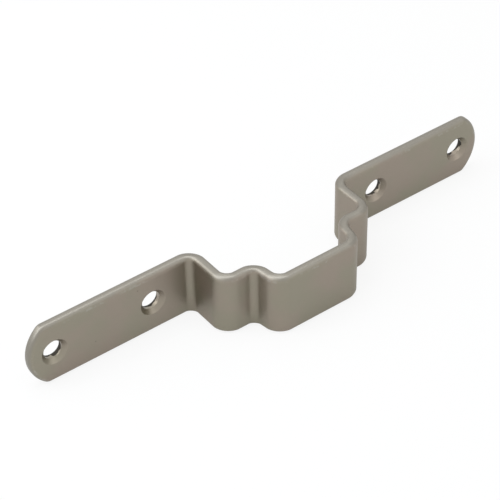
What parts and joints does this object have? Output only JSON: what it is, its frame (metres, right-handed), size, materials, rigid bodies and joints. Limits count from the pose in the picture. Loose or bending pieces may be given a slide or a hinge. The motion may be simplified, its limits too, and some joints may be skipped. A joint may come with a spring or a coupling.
{
  "type": "pull-out stabilizer bracket",
  "caption": "Steel strip folded into a stepped hat between rounded, countersunk screw wings; its channel traps a bar of a pull-out frame against a cabinet door.",
  "frame": {"origin": "centre of the screw hole pattern, on the plane of the wings' back faces, at mid width of the strip", "axes": "+X along the strip from wing to wing, +Y out of the wings' back faces into the door panel, +Z across the strip's width"},
  "size_m": [0.16, 0.027, 0.02],
  "materials": {
    "satin_nickel": "tumbled steel with a warm grey satin nickel plate"
  },
  "bodies": {
    "root": {"bracket": "satin_nickel"}
  },
  "joints": []
}
